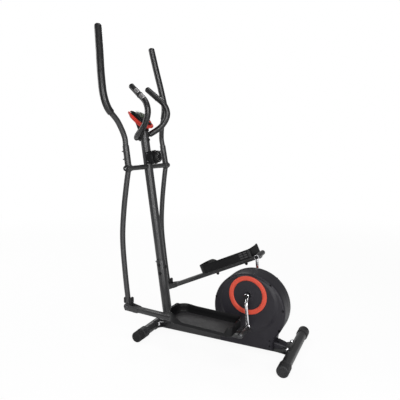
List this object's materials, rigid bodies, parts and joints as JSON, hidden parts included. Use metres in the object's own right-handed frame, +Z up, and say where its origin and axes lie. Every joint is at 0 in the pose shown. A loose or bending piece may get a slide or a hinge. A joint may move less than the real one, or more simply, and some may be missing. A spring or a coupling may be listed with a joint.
{
  "type": "elliptical trainer",
  "caption": "Elliptical trainer with a rear flywheel drive, two swinging levers, open foot trays on long arms, a fixed handlebar and a small console.",
  "frame": {"origin": "on the floor under the middle of the bounding box", "axes": "+X forward towards the console, +Y to the left of a person on the pedals, +Z up"},
  "size_m": [0.9773, 0.61, 1.5572],
  "materials": {
    "tube_paint": "dark grey powder coat, satin",
    "black_plastic": "fine grained, matte",
    "shell_plastic": "charcoal, fine grained, satin",
    "foam": "closed-cell foam, matte",
    "red_plastic": "orange-red, satin",
    "chrome": "polished",
    "steel": "zinc-plated or brushed",
    "iron": "bare, machined rim",
    "rubber": "matte",
    "screen_glass": "liquid crystal display under a clear window"
  },
  "bodies": {
    "frame": {"main_frame": "tube_paint", "front_stabilizer": "tube_paint", "rear_stabilizer": "tube_paint", "front_cap_left": "black_plastic", "front_cap_right": "black_plastic", "rear_cap_left": "black_plastic", "rear_cap_right": "black_plastic", "upright_post": "tube_paint", "crossbar_cap_left": "black_plastic", "crossbar_cap_right": "black_plastic", "handlebar": "tube_paint", "handlebar_clamp": "black_plastic", "handlebar_grip_left": "foam", "handlebar_grip_right": "foam", "pulse_sensor_lower_left": "steel", "pulse_sensor_upper_left": "steel", "pulse_sensor_lower_right": "steel", "pulse_sensor_upper_right": "steel", "console_bracket": "black_plastic", "console_case": "red_plastic", "console_cover": "black_plastic", "console_screen": "screen_glass", "tension_housing": "black_plastic", "shell_left": "shell_plastic", "shell_right": "shell_plastic", "ring_left": "red_plastic", "ring_right": "red_plastic", "belt": "rubber", "crank_bearing": "steel", "flywheel_axle": "steel"},
    "crankset": {"crank_axle": "steel", "crank_left": "chrome", "crank_right": "chrome", "drive_pulley": "black_plastic"},
    "flywheel_rotor": {"flywheel": "iron"},
    "brake": {"magnet_bracket": "iron"},
    "dial": {"tension_dial": "black_plastic"},
    "left_roller": {"transport_roller_left": "rubber"},
    "right_roller": {"transport_roller_right": "rubber"},
    "left_button": {"console_button_left": "red_plastic"},
    "middle_button": {"console_button_middle": "red_plastic"},
    "right_button": {"console_button_right": "red_plastic"},
    "left_lever": {"lever_left": "tube_paint", "handle_left": "tube_paint", "handle_grip_left": "foam"},
    "left_pedal": {"pedal_arm_left": "tube_paint", "pedal_left": "black_plastic", "lever_pin_left": "steel", "crank_pin_left": "steel"},
    "right_lever": {"lever_right": "tube_paint", "handle_right": "tube_paint", "handle_grip_right": "foam"},
    "right_pedal": {"pedal_arm_right": "tube_paint", "pedal_right": "black_plastic", "lever_pin_right": "steel", "crank_pin_right": "steel"}
  },
  "joints": [
    {"name": "crank_turn", "type": "hinge", "parent": "frame", "child": "crankset", "pos_m": [-0.24873, 0, 0.285], "axis": [0, 1, 0], "continuous": true},
    {"name": "flywheel_spin", "type": "hinge", "parent": "frame", "child": "flywheel_rotor", "pos_m": [-0.21273, 0, 0.16], "axis": [0, 1, 0], "continuous": true},
    {"name": "left_lever_swing", "type": "hinge", "parent": "frame", "child": "left_lever", "pos_m": [0.34045, 0.18, 0.87855], "axis": [0, 1, 0], "range_deg": [-12.3, 11.4]},
    {"name": "right_lever_swing", "type": "hinge", "parent": "frame", "child": "right_lever", "pos_m": [0.34045, -0.18, 0.87855], "axis": [0, 1, 0], "range_deg": [-11.4, 12.3]},
    {"name": "left_pedal_pivot", "type": "hinge", "parent": "left_lever", "child": "left_pedal", "pos_m": [0.3583, 0.18, 0.16775], "axis": [0, 1, 0], "range_deg": [-11.4, 12.3]},
    {"name": "right_pedal_pivot", "type": "hinge", "parent": "right_lever", "child": "right_pedal", "pos_m": [0.3288, -0.18, 0.16762], "axis": [0, 1, 0], "range_deg": [-12.3, 11.4]},
    {"name": "tension_dial_turn", "type": "hinge", "parent": "frame", "child": "dial", "pos_m": [0.2922, 0, 0.93159], "axis": [-0.9907, 0, 0.1357], "range_deg": [0, 270]},
    {"name": "brake_swing", "type": "hinge", "parent": "frame", "child": "brake", "pos_m": [-0.14624, 0.021, 0.0749], "axis": [0, 1, 0], "range_deg": [0, 6]},
    {"name": "left_roller_spin", "type": "hinge", "parent": "frame", "child": "left_roller", "pos_m": [0.28727, 0.203, 0.0275], "axis": [0, 1, 0], "continuous": true},
    {"name": "right_roller_spin", "type": "hinge", "parent": "frame", "child": "right_roller", "pos_m": [0.28727, -0.203, 0.0275], "axis": [0, 1, 0], "continuous": true},
    {"name": "left_button_press", "type": "slide", "parent": "frame", "child": "left_button", "axis": [0.5592, 0, -0.829], "range_m": [0, 0.001], "stiffness_N_per_m": 200, "springref_m": -0.0005},
    {"name": "middle_button_press", "type": "slide", "parent": "frame", "child": "middle_button", "axis": [0.5592, 0, -0.829], "range_m": [0, 0.001], "stiffness_N_per_m": 200, "springref_m": -0.0005},
    {"name": "right_button_press", "type": "slide", "parent": "frame", "child": "right_button", "axis": [0.5592, 0, -0.829], "range_m": [0, 0.001], "stiffness_N_per_m": 200, "springref_m": -0.0005}
  ],
  "couplings": [
    {"joint": "flywheel_spin", "follows": "crank_turn", "ratio": 6.1429},
    {"joint": "right_lever_swing", "follows": "left_lever_swing", "ratio": -1},
    {"joint": "left_pedal_pivot", "follows": "left_lever_swing", "ratio": -1},
    {"joint": "right_pedal_pivot", "follows": "left_lever_swing", "ratio": 1},
    {"joint": "brake_swing", "follows": "tension_dial_turn", "ratio": 0.022222}
  ]
}
